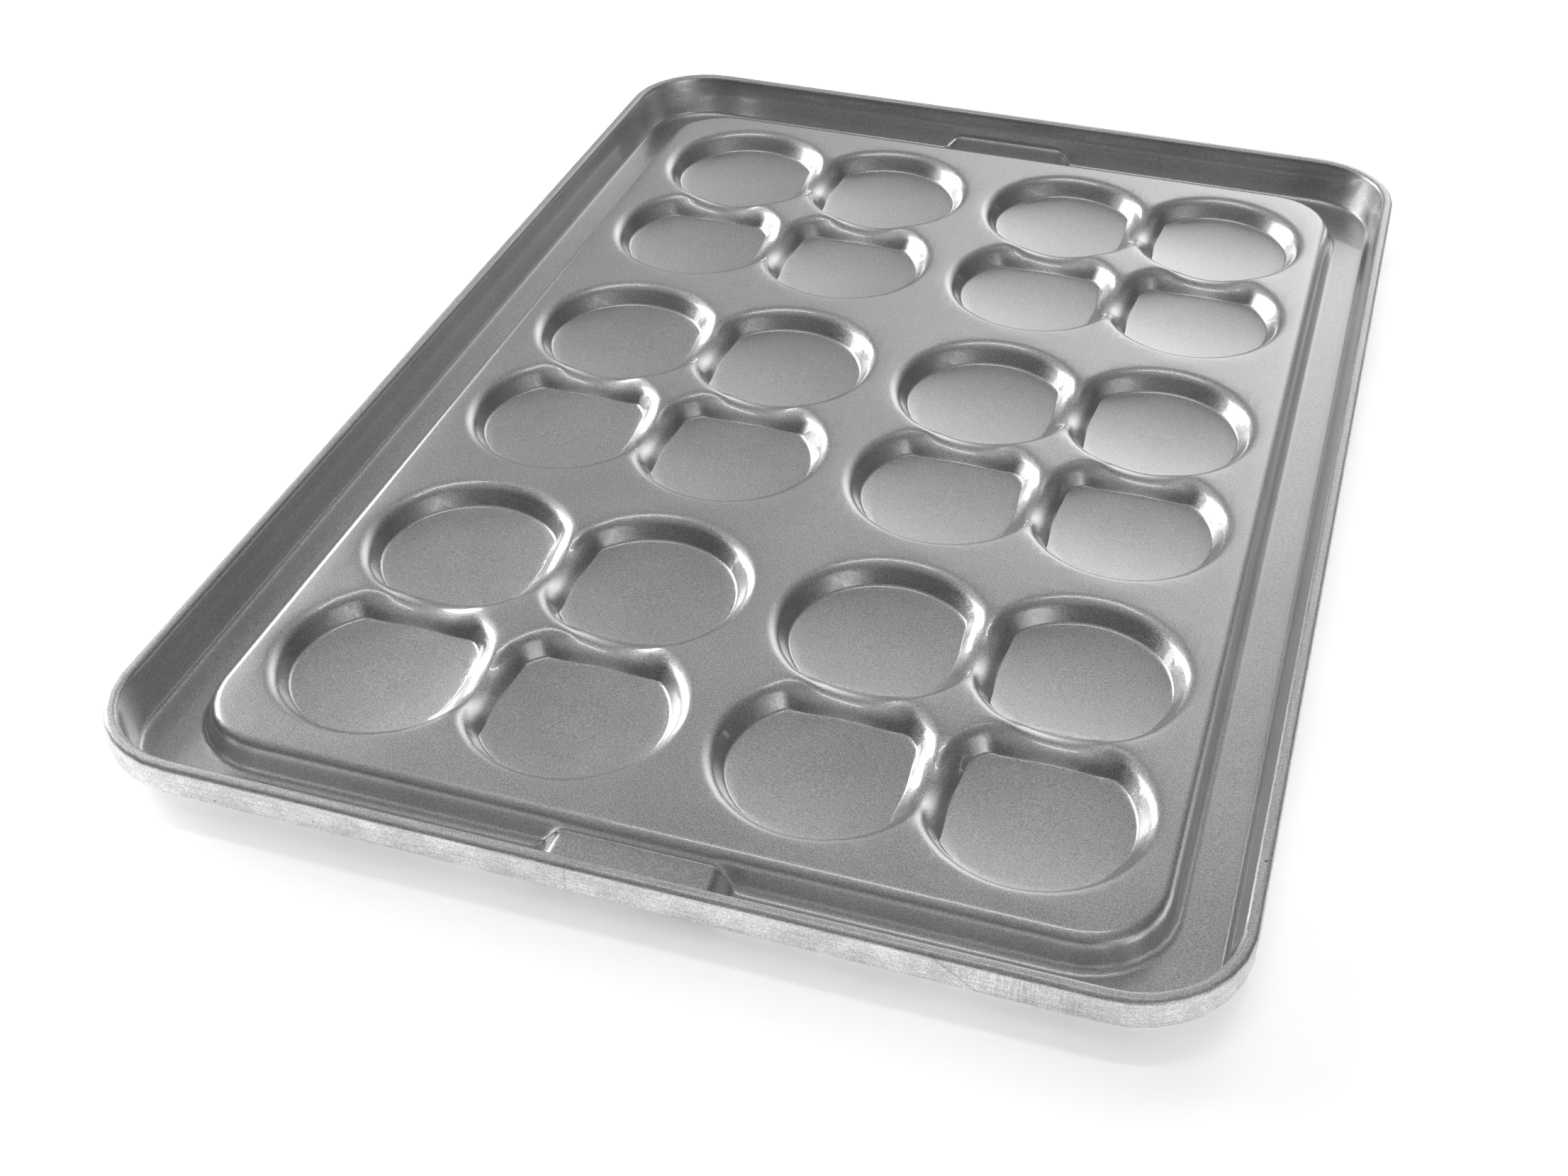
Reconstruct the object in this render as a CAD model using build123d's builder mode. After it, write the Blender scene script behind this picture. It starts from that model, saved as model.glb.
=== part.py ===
"""Bun pan: one pressed sheet with its edge wrapped round a flat steel rim bar.

Millimetres, +Z up. The pan stands on z = 0, and the origin is the middle of its footprint.
+Y runs along the longer side. Sections of the sheet are drawn at the middle of its thickness.
"""
import os
from math import radians, tan

from build123d import *

# Whole pan and its sheet
PAN_WIDTH = 457.2
PAN_LENGTH = 660.4
PAN_HEIGHT = 24.5
SHEET = 0.7

# Rim: bar, band around it and outer corners
CORNER_RADIUS = 46.0
BAR_THICKNESS = 4.0
BAR_HEIGHT = 12.5
BAR_CLEARANCE = 0.15
BAR_JOINT_GAP = 0.5
BAR_JOINT_X = 133.0
BAR_CUT_OVERRUN = 5.0
SHOULDER_RADIUS = 2.0
INNER_SHOULDER_RADIUS = 1.7
HEM_LENGTH = 4.2

# Wall and channel floor between the rim and the plateau
CREASE_MARGIN = 9.6
CREASE_RADIUS = 3.2
FLOOR_STRIP = 4.0

# Plateau that holds the cups
PLATEAU_MARGIN = 37.4
PLATEAU_RISE = 13.4
PLATEAU_CORNER_RADIUS = 28.0
PLATEAU_EDGE_RADIUS = 5.6
PLATEAU_WALL_LEAN = 15.0
FOOT_RADIUS = 2.8

# Cups, in clusters of two by two
CUP_FLOOR_RADIUS = 39.6
CUP_DEPTH = 10.6
CUP_WALL_LEAN = 31.0
CUP_LIP_RADIUS = 7.5
CUP_CREASE_RADIUS = 2.0
CUP_PITCH_X = 84.8
CUP_PITCH_Y = 82.7
CLUSTER_PITCH_X = 191.5
CLUSTER_PITCH_Y = 192.6
CLUSTERS_ACROSS = 2
CLUSTERS_ALONG = 3

# Low ridge pressed between neighbouring cups
RIDGE_HEIGHT = 4.2
RIDGE_HALF_WIDTH = 8.0

# Pad pressed up in the channel at the middle of each short side
PAD_LENGTH = 78.0
PAD_RISE = 8.3
PAD_END_LEAN = 48.0
PAD_EDGE_RADIUS = 4.0
PAD_FOOT_RADIUS = 2.5
PAD_SURROUND = 10.0
PAD_OPEN_INSIDE = 10.0
PAD_OPEN_OUTSIDE = 4.0

MIDDLE = SHEET / 2
HALF_WIDTH = PAN_WIDTH / 2
HALF_LENGTH = PAN_LENGTH / 2
PLATEAU_TOP = SHEET + PLATEAU_RISE
CUP_FLOOR = PLATEAU_TOP - CUP_DEPTH

BAR_MARGIN = SHEET + BAR_CLEARANCE
BAR_EDGE_RADIUS = SHOULDER_RADIUS - MIDDLE - BAR_CLEARANCE
BAR_CUT_WIDTH = 2 * (BAR_MARGIN + BAR_THICKNESS + BAR_CUT_OVERRUN)
BAR_CUT_HEIGHT = BAR_HEIGHT + 2 * BAR_CUT_OVERRUN
WALL_TOP_MARGIN = BAR_MARGIN + BAR_THICKNESS + BAR_CLEARANCE + MIDDLE
BAR_TOP = PAN_HEIGHT - SHEET - BAR_CLEARANCE
BAR_BOTTOM = BAR_TOP - BAR_HEIGHT
BAND_BOTTOM = BAR_BOTTOM - BAR_CLEARANCE - SHEET

FLOOR_SEAM_MARGIN = CREASE_MARGIN + FLOOR_STRIP
PLATEAU_EDGE_SHOULDER = PLATEAU_EDGE_RADIUS * tan(radians(90 - PLATEAU_WALL_LEAN) / 2)
PLATEAU_WALL_RUN = PLATEAU_RISE * tan(radians(PLATEAU_WALL_LEAN))
PLATEAU_FOOT = PLATEAU_EDGE_SHOULDER + PLATEAU_WALL_RUN
PLATEAU_SEAM = PLATEAU_FOOT + FLOOR_STRIP

CUP_WALL_RUN = CUP_DEPTH * tan(radians(CUP_WALL_LEAN))
CUP_CORNER_GROWTH = tan(radians(90 - CUP_WALL_LEAN) / 2)
CUP_FLAT_RADIUS = CUP_FLOOR_RADIUS + CUP_WALL_RUN + CUP_LIP_RADIUS * CUP_CORNER_GROWTH

RIDGE_RADIUS = (RIDGE_HALF_WIDTH**2 + RIDGE_HEIGHT**2) / (2 * RIDGE_HEIGHT)

PAD_TOP = SHEET + PAD_RISE
PAD_END_RUN = PAD_RISE * tan(radians(PAD_END_LEAN))
PAD_CORNER_GROWTH = tan(radians(90 - PAD_END_LEAN) / 2)
PAD_INNER_TOP = HALF_LENGTH - PLATEAU_MARGIN + PLATEAU_EDGE_SHOULDER
PAD_INNER_FOOT = PAD_INNER_TOP + PLATEAU_WALL_RUN
PAD_OUTER_TOP = HALF_LENGTH - WALL_TOP_MARGIN
PAD_OUTER_FOOT = HALF_LENGTH - CREASE_MARGIN


def carry_round(section, half_x, half_y, radius):
    """Carry a section round a rounded rectangle: straight sides and quarter-turn corners.

    In the section, x is measured outward from the rectangle and y is height.
    """
    run_x, run_y = half_x - radius, half_y - radius
    with BuildPart() as ring:
        with BuildSketch(Plane((half_x, 0, 0), x_dir=(1, 0, 0), z_dir=(0, -1, 0))):
            add(section)
        extrude(amount=-run_y)
        with BuildSketch(Plane((half_x, run_y, 0), x_dir=(1, 0, 0), z_dir=(0, -1, 0))):
            add(section)
        revolve(axis=Axis((run_x, run_y, 0), (0, 0, 1)), revolution_arc=90)
        with BuildSketch(Plane((0, half_y, 0), x_dir=(0, 1, 0), z_dir=(1, 0, 0))):
            add(section)
        extrude(amount=run_x)
        mirror(about=Plane.XZ)
        mirror(about=Plane.YZ)
    return ring.part


def cup_form(inset):
    """One cup's hollow about its own axis, grown by inset, cut off at the ridges to its neighbours.

    With no inset it is the space above the sheet, and with the sheet's thickness it also holds the sheet.
    """
    growth = inset * CUP_CORNER_GROWTH
    cover = SHEET if inset == 0 else inset / 2
    edge = CUP_FLAT_RADIUS + SHEET
    with BuildPart() as form:
        with BuildSketch(Plane.XZ):
            with BuildLine():
                wall = FilletPolyline(
                    (0, CUP_FLOOR - inset),
                    (CUP_FLOOR_RADIUS + growth, CUP_FLOOR - inset),
                    (CUP_FLOOR_RADIUS + CUP_WALL_RUN + growth, PLATEAU_TOP - inset),
                    (edge, PLATEAU_TOP - inset),
                    radius=(CUP_CREASE_RADIUS + inset, CUP_LIP_RADIUS - inset),
                )
                Polyline(
                    wall @ 1,
                    (edge, PLATEAU_TOP - inset + cover),
                    (0, PLATEAU_TOP - inset + cover),
                    wall @ 0,
                )
            make_face()
        revolve(axis=Axis.Z)
        split(bisect_by=Plane.YZ.offset(CUP_PITCH_X / 2), keep=Keep.BOTTOM)
        split(bisect_by=Plane.ZX.offset(CUP_PITCH_Y / 2), keep=Keep.BOTTOM)
    return form.part


def cluster_form(inset):
    """Four cup hollows side by side, less the two low ridges that cross between them."""
    reach = 2 * (CUP_FLAT_RADIUS + max(CUP_PITCH_X, CUP_PITCH_Y))
    axis_height = CUP_FLOOR + RIDGE_HEIGHT - RIDGE_RADIUS
    with BuildPart() as form:
        with Locations((-CUP_PITCH_X / 2, -CUP_PITCH_Y / 2)):
            add(cup_form(inset))
        mirror(about=Plane.YZ)
        mirror(about=Plane.XZ)
        with Locations((0, 0, axis_height)):
            Cylinder(RIDGE_RADIUS - inset, reach, rotation=(90, 0, 0), mode=Mode.SUBTRACT)
            Cylinder(RIDGE_RADIUS - inset, reach, rotation=(0, 90, 0), mode=Mode.SUBTRACT)
    return form.part


def pad_prism(inset, start, end):
    """Everything below the pad's surface, lowered by inset, from one distance along Y to another."""
    half = PAD_LENGTH / 2 - inset * PAD_CORNER_GROWTH
    foot, top = SHEET - inset, PAD_TOP - inset
    with BuildPart() as prism:
        with BuildSketch(Plane.XZ.offset(-start)):
            with BuildLine():
                surface = FilletPolyline(
                    (-half - PAD_SURROUND, foot),
                    (-half, foot),
                    (PAD_END_RUN - half, top),
                    (half - PAD_END_RUN, top),
                    (half, foot),
                    (half + PAD_SURROUND, foot),
                    radius=(
                        PAD_FOOT_RADIUS + inset,
                        PAD_EDGE_RADIUS - inset,
                        PAD_EDGE_RADIUS - inset,
                        PAD_FOOT_RADIUS + inset,
                    ),
                )
                Polyline(
                    surface @ 1,
                    (half + PAD_SURROUND, foot - MIDDLE),
                    (-half - PAD_SURROUND, foot - MIDDLE),
                    surface @ 0,
                )
            make_face()
        extrude(amount=start - end)
    return prism.part


def pad_block():
    """The pad of the far side before it is hollowed, ending inside the two walls beside it."""
    with BuildPart() as block:
        add(pad_prism(0, PAD_INNER_TOP, PAD_OUTER_TOP))
        with BuildSketch(Plane.YZ.offset(-PAD_LENGTH)):
            with BuildLine():
                Polyline(
                    (PAD_INNER_FOOT, 0),
                    (PAD_INNER_TOP, PLATEAU_TOP),
                    (PAD_OUTER_TOP, PAN_HEIGHT),
                    (PAD_OUTER_FOOT, 0),
                    close=True,
                )
            make_face()
        extrude(amount=2 * PAD_LENGTH, mode=Mode.INTERSECT)
    return block.part


with BuildSketch() as rim_section:
    with BuildLine() as rim_line:
        FilletPolyline(
            (-FLOOR_SEAM_MARGIN, MIDDLE),
            (-CREASE_MARGIN, MIDDLE),
            (-WALL_TOP_MARGIN, PAN_HEIGHT - MIDDLE),
            (-MIDDLE, PAN_HEIGHT - MIDDLE),
            (-MIDDLE, BAND_BOTTOM + MIDDLE),
            (-MIDDLE - HEM_LENGTH, BAND_BOTTOM + MIDDLE),
            radius=(CREASE_RADIUS, INNER_SHOULDER_RADIUS, SHOULDER_RADIUS, INNER_SHOULDER_RADIUS),
        )
    trace(rim_line.line, line_width=SHEET)

with BuildSketch() as plateau_section:
    with BuildLine() as plateau_line:
        FilletPolyline(
            (-FLOOR_STRIP, PLATEAU_TOP - MIDDLE),
            (PLATEAU_EDGE_SHOULDER, PLATEAU_TOP - MIDDLE),
            (PLATEAU_FOOT, MIDDLE),
            (PLATEAU_SEAM, MIDDLE),
            radius=(PLATEAU_EDGE_RADIUS, FOOT_RADIUS),
        )
    trace(plateau_line.line, line_width=SHEET)

with BuildSketch() as bar_section:
    with Locations((-BAR_MARGIN - BAR_THICKNESS / 2, (BAR_TOP + BAR_BOTTOM) / 2)):
        RectangleRounded(BAR_THICKNESS, BAR_HEIGHT, BAR_EDGE_RADIUS)

plateau_half_x = HALF_WIDTH - PLATEAU_MARGIN
plateau_half_y = HALF_LENGTH - PLATEAU_MARGIN

with BuildPart() as pan_sheet:
    add(carry_round(rim_section.sketch, HALF_WIDTH, HALF_LENGTH, CORNER_RADIUS))
    add(carry_round(plateau_section.sketch, plateau_half_x, plateau_half_y, PLATEAU_CORNER_RADIUS))
    with BuildSketch():
        RectangleRounded(
            PAN_WIDTH - 2 * FLOOR_SEAM_MARGIN,
            PAN_LENGTH - 2 * FLOOR_SEAM_MARGIN,
            CORNER_RADIUS - FLOOR_SEAM_MARGIN,
        )
        RectangleRounded(
            2 * (plateau_half_x + PLATEAU_SEAM),
            2 * (plateau_half_y + PLATEAU_SEAM),
            PLATEAU_CORNER_RADIUS + PLATEAU_SEAM,
            mode=Mode.SUBTRACT,
        )
    extrude(amount=SHEET)
    with BuildSketch(Plane.XY.offset(PLATEAU_TOP)):
        RectangleRounded(
            2 * (plateau_half_x - FLOOR_STRIP),
            2 * (plateau_half_y - FLOOR_STRIP),
            PLATEAU_CORNER_RADIUS - FLOOR_STRIP,
        )
    extrude(amount=-SHEET)
    with GridLocations(CLUSTER_PITCH_X, CLUSTER_PITCH_Y, CLUSTERS_ACROSS, CLUSTERS_ALONG):
        add(cluster_form(SHEET))
    with GridLocations(CLUSTER_PITCH_X, CLUSTER_PITCH_Y, CLUSTERS_ACROSS, CLUSTERS_ALONG):
        add(cluster_form(0), mode=Mode.SUBTRACT)
    pad = pad_block()
    pad_hollow = pad_prism(SHEET, PAD_INNER_FOOT - PAD_OPEN_INSIDE, PAD_OUTER_FOOT + PAD_OPEN_OUTSIDE)
    add([pad, pad.mirror(Plane.XZ)])
    add([pad_hollow, pad_hollow.mirror(Plane.XZ)], mode=Mode.SUBTRACT)
pan_sheet.part.label = "pan_sheet"

with BuildPart() as rim_bar:
    add(carry_round(bar_section.sketch, HALF_WIDTH, HALF_LENGTH, CORNER_RADIUS))
    with Locations((BAR_JOINT_X, -HALF_LENGTH, (BAR_TOP + BAR_BOTTOM) / 2)):
        Box(BAR_JOINT_GAP, BAR_CUT_WIDTH, BAR_CUT_HEIGHT, mode=Mode.SUBTRACT)
rim_bar.part.label = "rim_bar"

os.makedirs("parts", exist_ok=True)
export_step(pan_sheet.part, "parts/pan_sheet.step")
export_step(rim_bar.part, "parts/rim_bar.step")
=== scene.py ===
"""Looks of the bun pan: the pressed sheet as one smooth surface, its satin finish and soft studio light.

Sizes of the pan are in millimetres and become metres where a mesh is made. Materials, floor, camera and
light are in metres. +Z is up and +Y runs along the longer side, away from the camera.
"""

import bpy
import numpy as np
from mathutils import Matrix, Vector


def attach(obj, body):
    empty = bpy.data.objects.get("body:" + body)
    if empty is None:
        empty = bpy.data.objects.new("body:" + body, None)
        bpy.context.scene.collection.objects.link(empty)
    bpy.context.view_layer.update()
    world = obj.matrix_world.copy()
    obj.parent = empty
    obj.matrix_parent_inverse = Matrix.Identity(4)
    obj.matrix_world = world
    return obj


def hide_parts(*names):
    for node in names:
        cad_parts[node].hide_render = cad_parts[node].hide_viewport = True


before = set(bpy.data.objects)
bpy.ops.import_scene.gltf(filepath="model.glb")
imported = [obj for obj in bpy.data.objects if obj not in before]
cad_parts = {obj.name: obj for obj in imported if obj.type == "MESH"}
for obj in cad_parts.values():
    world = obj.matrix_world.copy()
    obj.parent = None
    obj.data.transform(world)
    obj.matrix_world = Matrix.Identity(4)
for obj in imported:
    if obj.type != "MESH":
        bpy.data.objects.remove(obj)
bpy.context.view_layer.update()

MM = 0.001

# Whole pan
HALF_WIDTH, HALF_LENGTH, HEIGHT = 228.6, 330.2, 24.5
SHEET = 0.7
RIM_CORNER = 46.0

# Rim band, wall and hem, as margins inward from the outer face
SHOULDER_MARGIN, CREASE_MARGIN, HEM_MARGIN = 5.643, 9.893, 4.55
BAND_BOTTOM = 10.3
RIM_SIDE_START = 14.5
CREASE_FILLET, INNER_FILLET, OUTER_FILLET = 2.85, 2.05, 2.35

# Deck: flat edge, corner, levels, and its edge and foot outward from the flat edge
DECK_X, DECK_Y, DECK_CORNER = 191.2, 292.8, 28.0
DECK_TOP, CHANNEL_FLOOR, CHANNEL_RISE = 14.1, 0.7, 0.8
RISE_AT_RIM_SIDE = 0.71 * CHANNEL_RISE
DECK_SHOULDER, DECK_FOOT, DECK_SIDE_END = 4.565, 8.155, 11.5
DECK_EDGE_FILLET, DECK_FOOT_FILLET = 5.95, 3.9

# Cups
PITCH_X, PITCH_Y = 84.8, 82.7
CLUSTER_X, CLUSTER_Y = 191.5, 192.6
CUP_FLOOR, FLOOR_DISH = 4.5, 2.3
FLOOR_RADIUS, FLOOR_FILLET, LIP_FILLET = 39.6, 2.0, 7.5
WALL_SLOPE = np.radians(59.0)
AXIS_BLEND = 6.0
RIDGE_HEIGHT, RIDGE_HALF_WIDTH, RIDGE_BLEND, RIDGE_SAG_RADIUS = 3.6, 8.0, 1.8, 50.0
RIDGE_RADIUS = (RIDGE_HALF_WIDTH**2 + RIDGE_HEIGHT**2) / (2 * RIDGE_HEIGHT)
CREST_BLEND = 3.0

# Pads in the channel at the middle of the short sides
PAD_HALF_LENGTH, PAD_TOP = 39.0, 9.0
PAD_SLOPE = np.radians(50.0)
PAD_FOOT_FILLET, PAD_EDGE_FILLET, PAD_BLEND = 6.0, 6.0, 4.5
PAD_REACH, NO_PAD = 60.0, -50.0

# Cells of the deck, one round each cup
COLUMNS, ROWS = 4, 6
CELL_X = np.array([-DECK_X, -CLUSTER_X / 2, 0, CLUSTER_X / 2, DECK_X])
CELL_Y = np.array([-DECK_Y, -CLUSTER_Y, -CLUSTER_Y / 2, 0, CLUSTER_Y / 2, CLUSTER_Y, DECK_Y])
CUP_X = np.repeat([-CLUSTER_X / 2, CLUSTER_X / 2], 2) + np.tile([-PITCH_X / 2, PITCH_X / 2], 2)
CUP_Y = np.repeat([-CLUSTER_Y, 0, CLUSTER_Y], 2) + np.tile([-PITCH_Y / 2, PITCH_Y / 2], 3)
RIDGE_SIDE_STEPS, OPEN_SIDE_STEPS = 26, 16
RINGS, RING_TURN, RING_SPAN, TRIAL_POINTS = 21, np.radians(9.0), 8.0, 801
UNDER_RINGS = 12
PAD_STATIONS = np.array([
    0, 8, 16, 21, 24, 26, 27, 28, 29, 30, 31, 32, 33.5, 35, 36, 37, 38, 39, 40, 41.5, 44, 50, 60, 71, 83,
    CLUSTER_X / 2,
])

# Border: steps along the straights and round the arcs of its section
DECK_SIDE_STEPS = (1, 6, 1), (7, 6)
RIM_SIDE_STEPS = (1, 8, 1, 3, 1), (5, 5, 6, 4)

# Border: first rows of the rim side, which a pad may raise; last rows, which the underside has too; and the
# row on the outer face whose length is the coordinate along the rim
PAD_ROWS, HEM_ROWS, LENGTH_ROW = 14, 12, -8

# Margins of the deck and its wall, which only have to be well inside the rim, and of the hem's end
CELL_MARGIN, DECK_SIDE_MARGIN, HEM_END_MARGIN = 60.0, 50.0, 4.6

# Joining: places are told apart in steps of this many to a millimetre, and sharper edges aren't smoothed
MERGE_PER_MM = 1e4
SHARP_ANGLE = np.radians(60)
NEARLY = 1e-6

# Grain of the steel: scale, detail, roughness and stretch of each noise, and the span of it that is used
GRAIN = [
    ("Fleck", 1500, 2.0, 0.65, (1, 1, 1)),
    ("Cloud", 17, 5.0, 0.6, (1, 1, 1)),
    ("Lines", 100, 3.0, 0.7, (0.35, 22, 22)),
]
GRAIN_SPAN = (0.3, 0.7)

# Margins over which the look of the rim and of its outer face ends, in metres
RIM_SPAN, OUTER_SPAN = (0.0052, 0.0062), (0.0001, 0.0010)

# Tone of the sheet, and how far grain, rim, outer face and nicks change it
# The outer face is lighter partly as bare steel where its glaze is rubbed off, and partly as a painted
# sheen for the bright floor it mirrors
STEEL_TONE, RIM_LIGHTER, OUTER_BARE_AND_SHEEN, NICK_DARKER = 0.62, 0.08, 0.08, 0.75
FLECK_CONTRAST, CLOUD_CONTRAST, RUBBED_CONTRAST = 0.5, 0.10, 0.35
BLOTCH_NOISE, BLOTCH_SPAN, BLOTCH_TONES = (60, 4.0, 0.65), (0.35, 0.65), (0.86, 1.08)

# Roughness of the sheet and its glaze, how the glaze is rubbed off outside, and heights in the bump
STEEL_ROUGHNESS, FLECK_ROUGHER, CLOUD_ROUGHER, RIM_ROUGHER = 0.33, 0.10, 0.03, 0.12
GLAZE, OUTER_RUBBED_OFF, GLAZE_ROUGHNESS, GLAZE_IOR = 1.0, 0.7, 0.06, 1.8
LINE_HEIGHT, NICK_DEPTH, SHEET_BUMP = 0.5, 3.0, (0.5, 0.00004)

# Bar: tone and roughness, how far the grain changes them, and the bump
BAR_TONE, BAR_CLOUD_CONTRAST, BAR_FLECK_CONTRAST = 0.28, 0.12, 0.06
BAR_ROUGHNESS, BAR_CLOUD_ROUGHER, BAR_BUMP = 0.4, 0.2, (0.4, 0.00005)

# Nicks on the rim: places and radii in millimetres, and the part of the radius that is fully dark
NICKS = [
    ((-182.4, -330.2, 11.5), 0.9), ((-160.4, -330.2, 13.6), 0.7), ((152.7, -330.2, 11.1), 1.1),
    ((186.2, -330.2, 10.8), 0.8), ((225.8, -249.5, 24.5), 1.0), ((-118.0, -330.2, 15.5), 0.6),
]
NICK_CORE = 0.3

# Scuffed patch on the near outer face, in metres: its lean, start and end, edge, and fine lines
NEAR_FACE = (-0.3290, -0.3280)
SCUFF_LEAN, SCUFF_START, SCUFF_END = 1.385, 0.1545, 0.205
SCUFF_FADE_IN, SCUFF_FADE_OUT = 0.001, 0.01
SCUFF_EDGE_SPAN, SCUFF_EDGE_DARKER = (0.0003, 0.0012), 0.30
SCUFF_NOISE, SCUFF_NOISE_SPAN, SCUFF_LINES_DARKER = (900, 1.0, 0.5, (1, 1, 0.06)), (0.35, 0.65), 0.16
FAINT_LINE, FAINT_LINE_SPAN, FAINT_LINE_DARKER = -0.016, (0.0001, 0.0006), 0.18

# Floor: pale, and bright enough to be plain white where it is seen or mirrored outside the pan's shadow
FLOOR_HALF = 6
FLOOR_PLAIN, FLOOR_MIRRORED, FLOOR_SEEN = 0.8, 2.7, 2.8

# Camera: place in metres, turn in degrees, lens in millimetres, and how far it sees in metres
CAMERA_PLACE, CAMERA_TURN = (0.214374, -0.780256, 0.549761), (51.1776, -0.28, 17.6343)
CAMERA_LENS, CAMERA_SHIFT, CAMERA_REACH = 45.610, (-0.010417, 0.007521), 50

# Soft glows of the studio: azimuth clockwise from +Y and elevation in degrees, tightness and level
AMBIENT = 0.035
GLOWS = [
    (6, 20, 24, 1.6),
    (-16, 24, 14, 0.25),
    (-64, 42, 14, 0.35),
    (124, 14, 30, 1.7),
    (75, 25, 10, 0.06),
    (180, 82, 3.2, 0.34),
]

# Soft boxes: azimuth and elevation in degrees; distance, width and height in metres; and brightness
SOFT_BOXES = [
    ("left_soft_box", -68, 17, 2.2, 1.8, 1.3, 2.8),
    ("overhead_strip", -10, 84, 1.8, 1.1, 0.06, 8.0),
]


def smooth_min(a, b, reach):
    """The lower of two values, rounded where they differ by less than reach."""
    gap = np.clip(reach - np.abs(a - b), 0, None) / reach
    return np.minimum(a, b) - gap**2 * reach / 4


def smooth_max(a, b, reach):
    """The higher of two values, rounded in the same way."""
    return -smooth_min(-a, -b, reach)


def slope_profile(x, corner, low, high, slope, low_fillet, high_fillet):
    """Height of a line that is level at low, climbs at slope from corner, and is level again at high.

    Each bend is an arc tangent to the level and the slope, of radius low_fillet or high_fillet.
    """
    turn = np.tan(slope / 2)
    low_start = corner - low_fillet * turn
    high_end = corner + (high - low) / np.tan(slope) + high_fillet * turn
    low_end = low_start + low_fillet * np.sin(slope)
    high_start = high_end - high_fillet * np.sin(slope)
    low_arc = low + low_fillet - np.sqrt(np.clip(low_fillet**2 - (x - low_start) ** 2, 0, None))
    high_arc = high - high_fillet + np.sqrt(np.clip(high_fillet**2 - (high_end - x) ** 2, 0, None))
    return np.select(
        [x < low_start, x < low_end, x < high_start, x < high_end],
        [low, low_arc, low + (x - corner) * np.tan(slope), high_arc],
        high,
    )


def cup_height(x, y, toward_x, toward_y):
    """Height of the deck about one cup's axis, whose neighbours lie toward_x and toward_y.

    The rounded least of the distances to the three axes, put through the profile of a cup, gives cups
    that run into each other. At r from its axis a floor is dished by
    FLOOR_DISH * (1 - (r / FLOOR_RADIUS) ** 2). The rounded highest of that and of two round ridges gives
    the saddles between the cups. At s from its middle a ridge stands
    RIDGE_HEIGHT + s * s / (2 * RIDGE_SAG_RADIUS) above the floor's edge.
    """
    own = np.hypot(x, y)
    beside = np.hypot(x - toward_x * PITCH_X, y)
    behind = np.hypot(x, y - toward_y * PITCH_Y)
    radius = smooth_min(smooth_min(own, beside, AXIS_BLEND), behind, AXIS_BLEND)
    height = slope_profile(
        radius, FLOOR_RADIUS, CUP_FLOOR, DECK_TOP, WALL_SLOPE, FLOOR_FILLET, LIP_FILLET
    )
    height = height - FLOOR_DISH * np.clip(1 - (radius / FLOOR_RADIUS) ** 2, 0, 1)
    for off, along in ((x - toward_x * PITCH_X / 2, y), (y - toward_y * PITCH_Y / 2, x)):
        drop = RIDGE_RADIUS - np.sqrt(np.clip(RIDGE_RADIUS**2 - off**2, 0, None))
        crest = CUP_FLOOR + RIDGE_HEIGHT + along**2 / (2 * RIDGE_SAG_RADIUS)
        crest = smooth_min(crest, DECK_TOP - RIDGE_BLEND, CREST_BLEND)
        height = smooth_max(height, crest - drop, RIDGE_BLEND)
    return height


def cup_normal(x, y, toward_x, toward_y, step=0.02):
    """Unit normal of cup_height, from its slopes over a small step each way."""
    slope_x = cup_height(x + step, y, toward_x, toward_y) - cup_height(x - step, y, toward_x, toward_y)
    slope_y = cup_height(x, y + step, toward_x, toward_y) - cup_height(x, y - step, toward_x, toward_y)
    normal = np.stack([-slope_x, -slope_y, np.full_like(x, 2 * step)], -1)
    return normal / np.linalg.norm(normal, axis=-1, keepdims=True)


def pad_height(x):
    """Height of a pad along X: level in the middle, sloping down to the channel floor at both ends."""
    return slope_profile(
        -np.abs(x), -PAD_HALF_LENGTH, CHANNEL_FLOOR, PAD_TOP, PAD_SLOPE, PAD_FOOT_FILLET, PAD_EDGE_FILLET
    )


def rounded_path(corners, radii, straights, arc_steps):
    """Points along a polyline with each inner corner turned into an arc of its radius."""
    corners = [np.array(c, float) for c in corners]
    ends, points = [corners[0]], []
    for before, here, after, radius, steps in zip(corners, corners[1:], corners[2:], radii, arc_steps):
        back = (before - here) / np.linalg.norm(before - here)
        ahead = (after - here) / np.linalg.norm(after - here)
        half = np.arccos(np.clip(back @ ahead, -1, 1)) / 2
        reach = radius / np.tan(half)
        middle = here + (back + ahead) / np.linalg.norm(back + ahead) * radius / np.sin(half)
        start, stop = here + back * reach - middle, here + ahead * reach - middle
        sweep = np.arccos(np.clip(start @ stop / radius**2, -1, 1))
        t = np.linspace(0, 1, steps + 1)[:, None]
        arc = middle + (np.sin((1 - t) * sweep) * start + np.sin(t * sweep) * stop) / np.sin(sweep)
        points.append(arc)
        ends.extend([arc[0], arc[-1]])
    ends.append(corners[-1])
    path = [ends[0][None]]
    for k, steps in enumerate(straights):
        t = np.linspace(0, 1, steps + 1)[1:, None]
        path.append(ends[2 * k] + (ends[2 * k + 1] - ends[2 * k]) * t)
        if k < len(points):
            path.append(points[k][1:])
    return np.concatenate(path)


def side_points(distance, low, high, toward_neighbour):
    """Places along one side of a cell, at equal angles about the cup's axis."""
    steps = RIDGE_SIDE_STEPS if toward_neighbour else OPEN_SIDE_STEPS
    start, stop = np.arctan2(low, distance), np.arctan2(high, distance)
    return distance * np.tan(np.linspace(start, stop, steps + 1))


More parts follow.
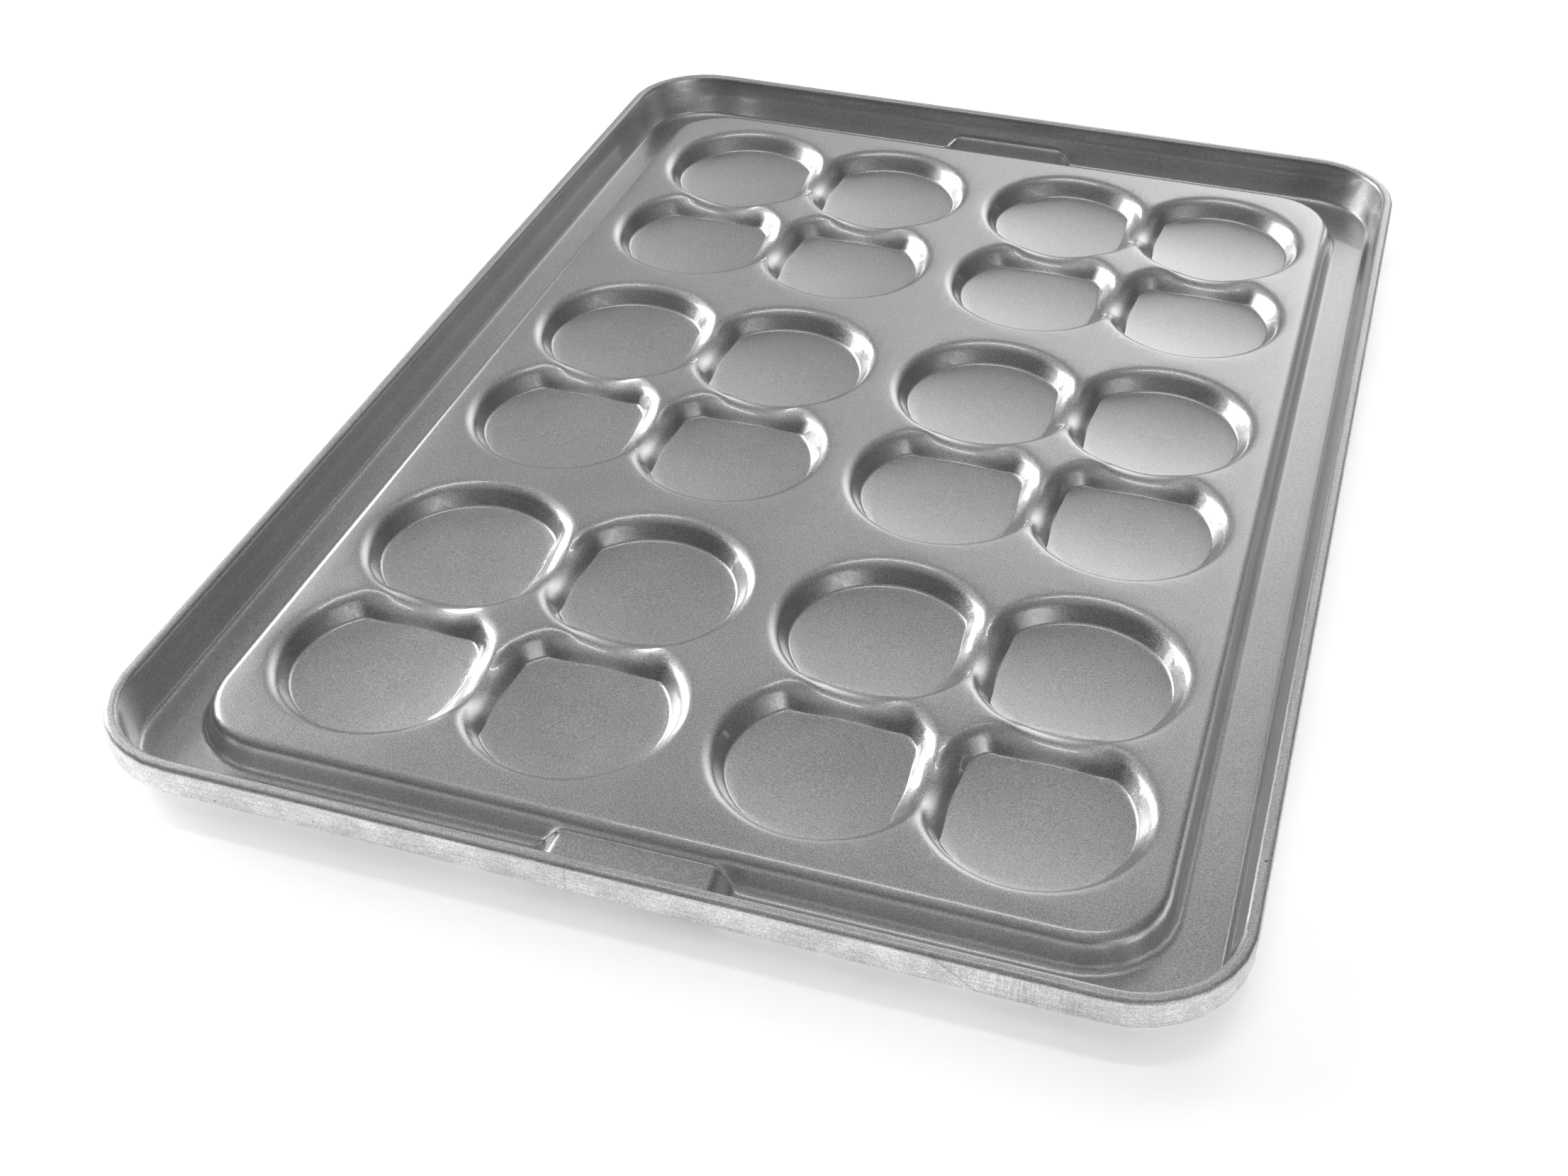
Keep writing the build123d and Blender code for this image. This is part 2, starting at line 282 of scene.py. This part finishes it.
def cell_outline(column, row):
    """Outline of the cell round one cup, about its axis, anticlockwise and closed.

    It is the rectangle up to the middle lines to its neighbours or to the deck's flat edge. A corner of
    the deck is an arc.
    """
    cx, cy = CUP_X[column], CUP_Y[row]
    toward_x, toward_y = (1 if column % 2 == 0 else -1), (1 if row % 2 == 0 else -1)
    left, right = CELL_X[column] - cx, CELL_X[column + 1] - cx
    near, far = CELL_Y[row] - cy, CELL_Y[row + 1] - cy
    near_x = side_points(-near, left, right, toward_y < 0)
    far_x = side_points(far, left, right, toward_y > 0)
    if abs(cx) < CLUSTER_X / 2:
        stations = (PAD_STATIONS if cx > 0 else -PAD_STATIONS[::-1]) - cx
        near_x = stations if row == 0 else near_x
        far_x = stations if row == ROWS - 1 else far_x
    right_y = side_points(right, near, far, toward_x > 0)
    left_y = side_points(-left, near, far, toward_x < 0)
    outline = np.concatenate([
        np.stack([near_x, np.full_like(near_x, near)], 1)[:-1],
        np.stack([np.full_like(right_y, right), right_y], 1)[:-1],
        np.stack([far_x, np.full_like(far_x, far)], 1)[::-1][:-1],
        np.stack([np.full_like(left_y, left), left_y], 1)[::-1],
    ])
    if column in (0, COLUMNS - 1) and row in (0, ROWS - 1):
        side = np.sign([cx, cy])
        middle = side * (np.array([DECK_X, DECK_Y]) - DECK_CORNER) - (cx, cy)
        ray = outline / np.linalg.norm(outline, axis=1, keepdims=True)
        along = ray @ middle
        reach = along + np.sqrt(np.clip(DECK_CORNER**2 - middle @ middle + along**2, 0, None))
        rounded = ray * reach[:, None]
        in_corner = ((rounded - middle) * side > 0).all(1)
        outline = np.where(in_corner[:, None], rounded, outline)
    return outline, toward_x, toward_y


def cell_grid(column, row):
    """Top of the deck round one cup: rings about the axis against directions to the cell's outline.

    Along each direction the rings are spaced evenly by turning / RING_TURN + distance / RING_SPAN, so
    they lie close where the surface bends. The last ring is the outline. Returns places, unit normals
    and flat coordinates.
    """
    outline, toward_x, toward_y = cell_outline(column, row)
    reach = np.linalg.norm(outline, axis=1)
    ray = outline / reach[:, None]
    trial = np.linspace(0, 1, TRIAL_POINTS)[:, None] * reach
    height = cup_height(trial * ray[:, 0], trial * ray[:, 1], toward_x, toward_y)
    tilt = np.arctan2(np.diff(height, axis=0), np.diff(trial, axis=0))
    turning = np.abs(np.diff(tilt, axis=0, prepend=tilt[:1]))
    measure = np.cumsum(turning / RING_TURN + np.diff(trial, axis=0) / RING_SPAN, axis=0)
    measure = np.concatenate([np.zeros((1, len(reach))), measure / measure[-1]])
    rings = np.stack([
        np.interp(np.linspace(0, 1, RINGS + 1), measure[:, k], trial[:, k]) for k in range(len(reach))
    ], 1)
    x, y = rings * ray[:, 0], rings * ray[:, 1]
    places = np.stack([x + CUP_X[column], y + CUP_Y[row], cup_height(x, y, toward_x, toward_y)], -1)
    return places, cup_normal(x, y, toward_x, toward_y), places[..., :2]


def about_edge(points):
    """For places on the deck's flat edge: the nearest places on its core, and the outward directions."""
    core_half = np.array([DECK_X, DECK_Y]) - DECK_CORNER
    core = np.clip(points, -core_half, core_half)
    outward = points - core
    return core, outward / np.linalg.norm(outward, axis=1, keepdims=True)


def edge_order(points):
    """Distance round the deck's flat edge, anticlockwise from the middle of the right side."""
    core, outward = about_edge(points)
    long_run, short_run = DECK_Y - DECK_CORNER, DECK_X - DECK_CORNER
    once_round = 4 * long_run + 4 * short_run + 2 * np.pi * DECK_CORNER
    angle = np.arctan2(outward[:, 1], outward[:, 0]) % (2 * np.pi)
    quarter = np.round(angle / (np.pi / 2), 9)
    straight = np.select(
        [quarter == 0, quarter < 1, quarter == 1, quarter < 2, quarter == 2, quarter < 3, quarter == 3],
        [
            np.where(core[:, 1] >= 0, core[:, 1], core[:, 1] + once_round),
            long_run,
            long_run + short_run - core[:, 0],
            long_run + 2 * short_run,
            2 * long_run + 2 * short_run - core[:, 1],
            3 * long_run + 2 * short_run,
            3 * long_run + 3 * short_run + core[:, 0],
        ],
        3 * long_run + 4 * short_run,
    )
    return straight + DECK_CORNER * np.where(quarter == 4, 0, angle)


def stretched(t, run, longer_run, kept=PAD_REACH):
    """A coordinate along a side, kept the same up to a distance and then stretched to a longer run."""
    beyond = np.clip(np.abs(t) - kept, 0, None)
    return np.sign(t) * (np.minimum(np.abs(t), kept) + beyond * (longer_run - kept) / (run - kept))


def border_grid(edge_points):
    """Top of everything outside the deck's flat edge: one section carried round the pan.

    Rows run down the deck's wall, over the channel, up the flaring wall, over the rim and round to the
    end of the hem. Columns are places round the flat edge. The rounded highest of the section and the
    pad's height raises the pads. Returns places, unit normals, coordinates along and across the section,
    each row's offset, and whether the row is on the rim side.
    """
    core, outward = about_edge(edge_points)
    rim_core = np.stack([
        stretched(core[:, 0], DECK_X - DECK_CORNER, HALF_WIDTH - RIM_CORNER),
        stretched(core[:, 1], DECK_Y - DECK_CORNER, HALF_LENGTH - RIM_CORNER),
    ], 1)
    deck_side = rounded_path(
        [
            (0, DECK_TOP), (DECK_SHOULDER, DECK_TOP),
            (DECK_FOOT, CHANNEL_FLOOR), (DECK_SIDE_END, CHANNEL_FLOOR),
        ],
        (DECK_EDGE_FILLET, DECK_FOOT_FILLET), *DECK_SIDE_STEPS,
    )[1:]
    deck_side[0] = 0, DECK_TOP
    rim_side = rounded_path(
        [
            (-RIM_SIDE_START, CHANNEL_FLOOR + RISE_AT_RIM_SIDE),
            (-CREASE_MARGIN, CHANNEL_FLOOR + CHANNEL_RISE),
            (-SHOULDER_MARGIN, HEIGHT), (0, HEIGHT),
            (0, BAND_BOTTOM), (-HEM_MARGIN, BAND_BOTTOM),
        ],
        (CREASE_FILLET, INNER_FILLET, OUTER_FILLET, INNER_FILLET), *RIM_SIDE_STEPS,
    )
    offset = np.concatenate([deck_side[:, 0] + DECK_CORNER, rim_side[:, 0] + RIM_CORNER])[:, None]
    level = np.concatenate([deck_side[:, 1], rim_side[:, 1]])[:, None]
    on_rim = np.arange(len(offset))[:, None, None] >= len(deck_side)
    base = np.where(on_rim, rim_core[None], core[None])
    flat = base + offset[..., None] * outward[None]
    short_side = np.abs(outward[:, 0]) < NEARLY
    pad = np.where(short_side & (np.abs(core[:, 0]) < PAD_REACH), pad_height(core[:, 0]), NO_PAD)
    inside = (np.arange(len(offset)) < len(deck_side) + PAD_ROWS)[:, None]
    blend = np.clip(pad - CHANNEL_FLOOR, 1e-3, PAD_BLEND)
    height = np.where(inside, smooth_max(level, pad[None], blend), level)
    places = np.concatenate([flat, height[..., None]], -1)
    along = np.roll(places[:, :-1], -1, axis=1) - np.roll(places[:, :-1], 1, axis=1)
    along = np.concatenate([along, along[:, :1]], axis=1)
    across = np.gradient(places, axis=0)
    normal = np.cross(across, along)
    normal /= np.linalg.norm(normal, axis=-1, keepdims=True)
    normal[0] = (0, 0, 1)
    length = np.cumsum(np.linalg.norm(np.diff(flat[LENGTH_ROW], axis=0), axis=1))
    run = np.cumsum(np.hypot(np.diff(offset[:, 0]), np.diff(level[:, 0])))
    length, run = np.concatenate([[0], length]), np.concatenate([[0], run])
    coordinates = np.stack(np.broadcast_arrays(length[None], run[:, None]), -1)
    return places, normal, coordinates, offset[:, 0], on_rim[:, 0, 0]


def grid_quads(rows, columns):
    """Corner numbers of every face of a grid, wound so that normals point up where rows run outward."""
    r, c = np.meshgrid(np.arange(rows - 1), np.arange(columns - 1), indexing="ij")
    first = r * columns + c
    return np.stack([first, first + columns, first + columns + 1, first + 1], -1).reshape(-1, 4)


def pan_surface():
    """All grids of the sheet, top and underside, as one list of places, faces, coordinates and margins.

    The underside is the top moved against its normals by the sheet's thickness, on fewer rings and rows.
    """
    places, quads, coords, margins = [], [], [], []

    def put(grid, uv, margin, flip=False):
        """Adds one grid, wound the other way round where flip is set."""
        faces = grid_quads(*grid.shape[:2])
        faces = faces[:, ::-1] if flip else faces
        start = sum(len(p) for p in places)
        places.append(grid.reshape(-1, 3))
        coords.append(uv.reshape(-1, 2)[faces])
        quads.append(faces + start)
        margins.append(np.broadcast_to(margin, grid.shape[:2]).reshape(-1))

    edge = []
    under_rings = np.linspace(0, RINGS, UNDER_RINGS + 1).round().astype(int)
    for column in range(COLUMNS):
        for row in range(ROWS):
            top, normal, uv = cell_grid(column, row)
            put(top, uv, CELL_MARGIN)
            put((top - SHEET * normal)[under_rings], uv[under_rings], CELL_MARGIN, flip=True)
            edge.append(top[-1, :, :2])
    edge = np.concatenate(edge)
    core, outward = about_edge(edge)
    gap = np.abs(np.linalg.norm(edge - core, axis=1) - DECK_CORNER)
    edge = np.unique(np.round(edge[gap < NEARLY], 7), axis=0)
    edge = edge[np.argsort(edge_order(edge))]
    edge = np.concatenate([edge, edge[:1]])
    top, normal, uv, offset, on_rim = border_grid(edge)
    margin = np.where(on_rim, RIM_CORNER - offset, DECK_SIDE_MARGIN)[:, None]
    put(top, uv, margin)
    count = len(top)
    under_rows = np.concatenate([np.arange(0, count - HEM_ROWS, 2), np.arange(count - HEM_ROWS, count)])
    put((top - SHEET * normal)[under_rows], uv[under_rows], margin[under_rows] + SHEET, flip=True)
    lip = np.stack([top[-1], top[-1] - SHEET * normal[-1]])
    put(lip, np.stack([uv[-1], uv[-1] + (0, SHEET)]), HEM_END_MARGIN)
    return np.concatenate(places), np.concatenate(quads), np.concatenate(coords), np.concatenate(margins)


def sheet_mesh(name):
    """Joins the grids where their places meet, drops faces that close to nothing, and makes the mesh."""
    places, quads, coords, margins = pan_surface()
    keys = np.round(places * MERGE_PER_MM).astype(np.int64)
    _, first, number = np.unique(keys, axis=0, return_index=True, return_inverse=True)
    number = number.reshape(-1)
    quads = number[quads]
    kept = quads != np.roll(quads, 1, axis=1)
    sizes = kept.sum(1)
    keep_face = sizes > 2
    kept &= keep_face[:, None]
    loops, loop_uv = quads[kept], coords[kept]
    sizes = sizes[keep_face]
    mesh = bpy.data.meshes.new(name)
    mesh.vertices.add(len(first))
    mesh.vertices.foreach_set("co", (places[first] * MM).astype(np.float32).ravel())
    mesh.loops.add(len(loops))
    mesh.loops.foreach_set("vertex_index", loops.astype(np.int32))
    mesh.polygons.add(len(sizes))
    starts = np.concatenate([[0], np.cumsum(sizes)[:-1]])
    mesh.polygons.foreach_set("loop_start", starts.astype(np.int32))
    mesh.uv_layers.new(name="along_across")
    mesh.update(calc_edges=True)
    mesh.validate()
    uv_map = mesh.uv_layers["along_across"]
    uv_map.data.foreach_set("uv", (loop_uv * MM).astype(np.float32).ravel())
    margin = mesh.attributes.new("margin", "FLOAT", "POINT")
    margin.data.foreach_set("value", (margins[first] * MM).astype(np.float32))
    mesh.shade_smooth()
    mesh.set_sharp_from_angle(angle=SHARP_ANGLE)
    return mesh


def math_node(tree, operation, *values):
    """A Math node with its inputs set to numbers or joined to sockets."""
    node = tree.nodes.new("ShaderNodeMath")
    node.operation = operation
    for socket, value in zip(node.inputs, values):
        if isinstance(value, (int, float)):
            socket.default_value = value
        else:
            tree.links.new(value, socket)
    return node.outputs[0]


def span_node(tree, value, low, high, to_low=0.0, to_high=1.0):
    """A value between low and high carried smoothly to between to_low and to_high, and held outside."""
    node = tree.nodes.new("ShaderNodeMapRange")
    node.interpolation_type = "SMOOTHSTEP"
    for socket, setting in zip(node.inputs[1:5], (low, high, to_low, to_high)):
        socket.default_value = setting
    tree.links.new(value, node.inputs[0])
    return node.outputs[0]


def noise_node(tree, place, scale, detail=2.0, roughness=0.5, stretch=(1, 1, 1)):
    """Noise over a place, with its grain stretched along each axis."""
    mapping = tree.nodes.new("ShaderNodeMapping")
    mapping.inputs["Scale"].default_value = stretch
    tree.links.new(place, mapping.inputs["Vector"])
    node = tree.nodes.new("ShaderNodeTexNoise")
    node.inputs["Scale"].default_value = scale
    node.inputs["Detail"].default_value = detail
    node.inputs["Roughness"].default_value = roughness
    tree.links.new(mapping.outputs[0], node.inputs["Vector"])
    return node.outputs[0]


def new_group(name, inputs, outputs):
    """A node group with value sockets, or vector ones for a Place. Returns it and its two ends."""
    group = bpy.data.node_groups.new(name, "ShaderNodeTree")
    for in_out, labels in (("INPUT", inputs), ("OUTPUT", outputs)):
        for label in labels:
            kind = "NodeSocketVector" if label == "Place" else "NodeSocketFloat"
            group.interface.new_socket(label, in_out=in_out, socket_type=kind)
    return group, group.nodes.new("NodeGroupInput"), group.nodes.new("NodeGroupOutput")


def metal_grain():
    """Flecks, clouds and fine lines of the coated steel, as values of 0 to 1 over a place in metres."""
    group, given, out = new_group("metal_grain", ["Place"], ["Fleck", "Cloud", "Lines"])
    place = given.outputs["Place"]
    for label, scale, detail, roughness, stretch in GRAIN:
        noise = noise_node(group, place, scale, detail, roughness, stretch)
        group.links.new(span_node(group, noise, *GRAIN_SPAN), out.inputs[label])
    return group


def use_group(tree, group, place):
    """A group node fed with a place."""
    node = tree.nodes.new("ShaderNodeGroup")
    node.node_tree = group
    tree.links.new(place, node.inputs["Place"])
    return node.outputs


def bump_node(tree, height, strength, distance):
    """A bump of a height value."""
    node = tree.nodes.new("ShaderNodeBump")
    node.inputs["Strength"].default_value = strength
    node.inputs["Distance"].default_value = distance
    tree.links.new(height, node.inputs["Height"])
    return node.outputs[0]


def rim_scuff(tree, place):
    """A factor for the near outer face: fine upright lines behind a slanted edge, and one faint line."""
    axes = tree.nodes.new("ShaderNodeSeparateXYZ")
    tree.links.new(place, axes.inputs[0])
    near = span_node(tree, axes.outputs["Y"], *NEAR_FACE, 1.0, 0.0)
    slant = math_node(tree, "MULTIPLY_ADD", axes.outputs["Z"], SCUFF_LEAN, axes.outputs["X"])
    edge = math_node(tree, "ABSOLUTE", math_node(tree, "SUBTRACT", slant, SCUFF_START))
    edge = span_node(tree, edge, *SCUFF_EDGE_SPAN, SCUFF_EDGE_DARKER, 0.0)
    inside = span_node(tree, slant, SCUFF_START, SCUFF_START + SCUFF_FADE_IN)
    fading = span_node(tree, slant, SCUFF_END - SCUFF_FADE_OUT, SCUFF_END, 1.0, 0.0)
    inside = math_node(tree, "MULTIPLY", inside, fading)
    lines = noise_node(tree, place, *SCUFF_NOISE)
    lines = span_node(tree, lines, *SCUFF_NOISE_SPAN, 0.0, SCUFF_LINES_DARKER)
    line = math_node(tree, "ABSOLUTE", math_node(tree, "SUBTRACT", axes.outputs["X"], FAINT_LINE))
    dark = math_node(tree, "MULTIPLY_ADD", inside, lines, edge)
    faint = span_node(tree, line, *FAINT_LINE_SPAN, FAINT_LINE_DARKER, 0.0)
    dark = math_node(tree, "MAXIMUM", dark, faint)
    return math_node(tree, "MULTIPLY_ADD", math_node(tree, "MULTIPLY", dark, near), -1.0, 1.0)


def new_material(name):
    """A node material. Returns it, its tree, its shader's inputs and the place on the object."""
    material = bpy.data.materials.new(name)
    material.use_nodes = True
    tree = material.node_tree
    place = tree.nodes.new("ShaderNodeTexCoord").outputs["Object"]
    return material, tree, tree.nodes["Principled BSDF"].inputs, place


def glazed_steel(grain):
    """Satin aluminised steel under a clear baking glaze.

    Flecks and clouds lie all over. On the rim the glaze is rubbed off, with fine lines along its top,
    blotches on its outer face and small nicks.
    """
    material, tree, shader, place = new_material("glazed_steel")
    section = tree.nodes.new("ShaderNodeUVMap")
    section.uv_map = "along_across"
    margin = tree.nodes.new("ShaderNodeAttribute")
    margin.attribute_name = "margin"
    margin = margin.outputs["Fac"]
    everywhere = use_group(tree, grain, place)
    along_rim = use_group(tree, grain, section.outputs[0])
    on_rim = span_node(tree, margin, *RIM_SPAN, 1.0, 0.0)
    outer_face = span_node(tree, margin, *OUTER_SPAN, 1.0, 0.0)

    fleck = math_node(tree, "MULTIPLY_ADD", everywhere["Fleck"], FLECK_CONTRAST, 1 - FLECK_CONTRAST / 2)
    cloud = math_node(tree, "MULTIPLY_ADD", everywhere["Cloud"], CLOUD_CONTRAST, 1 - CLOUD_CONTRAST / 2)
    blotch = span_node(tree, noise_node(tree, place, *BLOTCH_NOISE), *BLOTCH_SPAN, *BLOTCH_TONES)
    blotch = math_node(tree, "MULTIPLY_ADD", outer_face, math_node(tree, "SUBTRACT", blotch, 1.0), 1.0)
    rubbed = math_node(tree, "MULTIPLY", on_rim, math_node(tree, "SUBTRACT", along_rim["Lines"], 0.5))
    rubbed = math_node(tree, "MULTIPLY_ADD", rubbed, RUBBED_CONTRAST, 1.0)
    nick = 0.0
    for where, radius in NICKS:
        away = tree.nodes.new("ShaderNodeVectorMath")
        away.operation = "DISTANCE"
        tree.links.new(place, away.inputs[0])
        away.inputs[1].default_value = [MM * value for value in where]
        spot = span_node(tree, away.outputs["Value"], NICK_CORE * MM * radius, MM * radius, 1.0, 0.0)
        nick = math_node(tree, "MAXIMUM", spot, nick)
    marks = math_node(tree, "MULTIPLY_ADD", nick, -NICK_DARKER, rim_scuff(tree, place))
    tone = math_node(tree, "MULTIPLY", fleck, cloud)
    tone = math_node(tree, "MULTIPLY", tone, math_node(tree, "MULTIPLY", blotch, rubbed))
    tone = math_node(tree, "MULTIPLY", tone, marks)
    tone = math_node(tree, "MULTIPLY", tone, math_node(tree, "MULTIPLY_ADD", on_rim, RIM_LIGHTER, 1.0))
    # Painted sheen: the outer face is made lighter, partly as bare steel and partly standing in for the
    # mirrored bright floor
    bare_and_sheen_tone = math_node(tree, "MULTIPLY_ADD", outer_face, OUTER_BARE_AND_SHEEN, STEEL_TONE)
    tree.links.new(math_node(tree, "MULTIPLY", tone, bare_and_sheen_tone), shader["Base Color"])

    shader["Metallic"].default_value = 1.0
    plain = STEEL_ROUGHNESS - FLECK_ROUGHER / 2
    rough = math_node(tree, "MULTIPLY_ADD", everywhere["Fleck"], FLECK_ROUGHER, plain)
    rough = math_node(tree, "MULTIPLY_ADD", everywhere["Cloud"], CLOUD_ROUGHER, rough)
    rough = math_node(tree, "MULTIPLY_ADD", on_rim, RIM_ROUGHER, rough)
    tree.links.new(rough, shader["Roughness"])
    coat = math_node(tree, "MULTIPLY_ADD", outer_face, -OUTER_RUBBED_OFF, GLAZE)
    tree.links.new(coat, shader["Coat Weight"])
    shader["Coat Roughness"].default_value = GLAZE_ROUGHNESS
    shader["Coat IOR"].default_value = GLAZE_IOR

    raised = math_node(tree, "MULTIPLY", on_rim, LINE_HEIGHT)
    height = math_node(tree, "MULTIPLY_ADD", along_rim["Lines"], raised, everywhere["Fleck"])
    height = math_node(tree, "MULTIPLY_ADD", nick, -NICK_DEPTH, height)
    tree.links.new(bump_node(tree, height, *SHEET_BUMP), shader["Normal"])
    return material


def bar_steel(grain):
    """Mill-finish bar inside the rim, with lines from rolling and dull clouds."""
    material, tree, shader, place = new_material("bar_steel")
    values = use_group(tree, grain, place)
    tone = math_node(tree, "MULTIPLY_ADD", values["Cloud"], BAR_CLOUD_CONTRAST, BAR_TONE)
    tone = math_node(tree, "MULTIPLY_ADD", values["Fleck"], BAR_FLECK_CONTRAST, tone)
    rough = math_node(tree, "MULTIPLY_ADD", values["Cloud"], BAR_CLOUD_ROUGHER, BAR_ROUGHNESS)
    tree.links.new(tone, shader["Base Color"])
    tree.links.new(rough, shader["Roughness"])
    tree.links.new(bump_node(tree, values["Lines"], *BAR_BUMP), shader["Normal"])
    shader["Metallic"].default_value = 1.0
    return material


def floor_plane():
    """A wide floor whose colour is plain to diffuse light, and brighter where it is seen or mirrored."""
    mesh = bpy.data.meshes.new("floor")
    corners = [(FLOOR_HALF * x, FLOOR_HALF * y, 0) for x, y in ((-1, -1), (1, -1), (1, 1), (-1, 1))]
    mesh.from_pydata(corners, [], [(0, 1, 2, 3)])
    material = bpy.data.materials.new("pale_floor")
    material.use_nodes = True
    tree = material.node_tree
    tree.nodes.clear()
    ray = tree.nodes.new("ShaderNodeLightPath").outputs
    mirrored = math_node(tree, "MAXIMUM", ray["Is Glossy Ray"], ray["Is Transmission Ray"])
    level = math_node(tree, "MULTIPLY_ADD", mirrored, FLOOR_MIRRORED - FLOOR_PLAIN, FLOOR_PLAIN)
    level = math_node(tree, "MULTIPLY_ADD", ray["Is Camera Ray"], FLOOR_SEEN - FLOOR_PLAIN, level)
    shader = tree.nodes.new("ShaderNodeBsdfDiffuse")
    tree.links.new(level, shader.inputs["Color"])
    out = tree.nodes.new("ShaderNodeOutputMaterial")
    tree.links.new(shader.outputs[0], out.inputs[0])
    mesh.materials.append(material)
    return bpy.data.objects.new("floor", mesh)


def photo_camera():
    """The camera as fitted to the photograph."""
    data = bpy.data.cameras.new("camera")
    data.lens = CAMERA_LENS
    data.shift_x, data.shift_y = CAMERA_SHIFT
    data.clip_end = CAMERA_REACH
    camera = bpy.data.objects.new("camera", data)
    camera.location = CAMERA_PLACE
    camera.rotation_euler = np.radians(CAMERA_TURN)
    return camera


def toward(azimuth, elevation):
    """Unit vector of a direction."""
    azimuth, elevation = np.radians(azimuth), np.radians(elevation)
    return np.sin(azimuth) * np.cos(elevation), np.cos(azimuth) * np.cos(elevation), np.sin(elevation)


def studio_world():
    """A dim studio of soft glows, each level * exp(tightness * (cosine - 1)) about its own direction."""
    world = bpy.data.worlds.new("studio")
    world.use_nodes = True
    tree = world.node_tree
    direction = tree.nodes.new("ShaderNodeTexCoord").outputs["Generated"]
    total = AMBIENT
    for azimuth, elevation, tightness, level in GLOWS:
        cosine = tree.nodes.new("ShaderNodeVectorMath")
        cosine.operation = "DOT_PRODUCT"
        tree.links.new(direction, cosine.inputs[0])
        cosine.inputs[1].default_value = toward(azimuth, elevation)
        fall = math_node(tree, "MULTIPLY_ADD", cosine.outputs["Value"], tightness, -tightness)
        total = math_node(tree, "MULTIPLY_ADD", math_node(tree, "EXPONENT", fall), level, total)
    tree.links.new(total, tree.nodes["Background"].inputs["Color"])
    return world


def soft_box(name, azimuth, elevation, distance, width, height, level):
    """A rectangular soft box that faces the pan, placed by its direction and set by its brightness."""
    place = distance * Vector(toward(azimuth, elevation))
    data = bpy.data.lights.new(name, "AREA")
    data.shape = "RECTANGLE"
    data.size, data.size_y = width, height
    data.energy = level * np.pi * width * height
    lamp = bpy.data.objects.new(name, data)
    lamp.location = place
    lamp.rotation_euler = (-place).to_track_quat("-Z", "Y").to_euler()
    return lamp


grain = metal_grain()
sheet = bpy.data.objects.new("pressed_sheet", sheet_mesh("pressed_sheet"))
bpy.context.collection.objects.link(sheet)
sheet.data.materials.append(glazed_steel(grain))
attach(sheet, "root")
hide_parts("pan_sheet")

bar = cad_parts["rim_bar"]
bar.data.materials.clear()
bar.data.materials.append(bar_steel(grain))

floor = floor_plane()
bpy.context.collection.objects.link(floor)

camera = photo_camera()
bpy.context.collection.objects.link(camera)
bpy.context.scene.camera = camera

bpy.context.scene.world = studio_world()
for box in SOFT_BOXES:
    bpy.context.collection.objects.link(soft_box(*box))

bpy.context.scene.view_settings.view_transform = "Standard"
